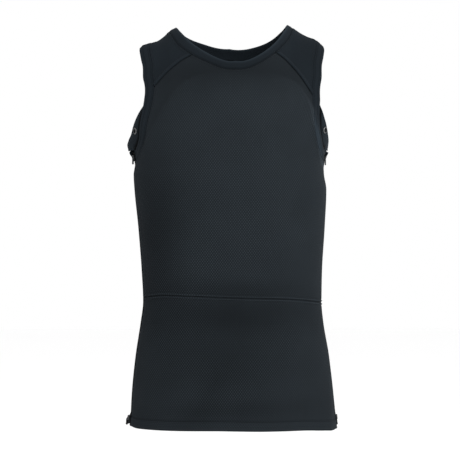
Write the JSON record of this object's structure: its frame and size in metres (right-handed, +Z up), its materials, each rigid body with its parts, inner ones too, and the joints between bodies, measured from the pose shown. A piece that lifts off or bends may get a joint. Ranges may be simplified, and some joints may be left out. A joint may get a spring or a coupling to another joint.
{
  "type": "stab vest",
  "caption": "Sleeveless stab vest of dark knit with shoulder yokes, a neckband, bound armholes, a waist seam, a zip down each side and a snap tab under each arm.",
  "frame": {"origin": "between the shoulders, at the height where the vest rests on them, on the side line between its front and back", "axes": "+Z up, -Y out of the front, +X to the wearer's left"},
  "size_m": [0.3581, 0.2326, 0.686],
  "materials": {
    "knit": "dark charcoal knit with a fine diagonal texture",
    "smooth_knit": "dark charcoal smooth knit",
    "zip_tape": "black woven tape with a nylon coil",
    "steel": "plain nickel-plated steel"
  },
  "bodies": {
    "root": {"front_panel": "knit", "front_skirt": "knit", "back_panel": "knit", "right_yoke": "smooth_knit", "left_yoke": "smooth_knit", "neckband": "smooth_knit", "right_arm_band": "smooth_knit", "left_arm_band": "smooth_knit", "right_side_zip": "zip_tape", "left_side_zip": "zip_tape", "right_zip_slider": "steel", "left_zip_slider": "steel", "right_zip_box": "steel", "left_zip_box": "steel", "right_snap_tab": "smooth_knit", "left_snap_tab": "smooth_knit", "right_snap_socket": "steel", "left_snap_socket": "steel"}
  },
  "joints": []
}
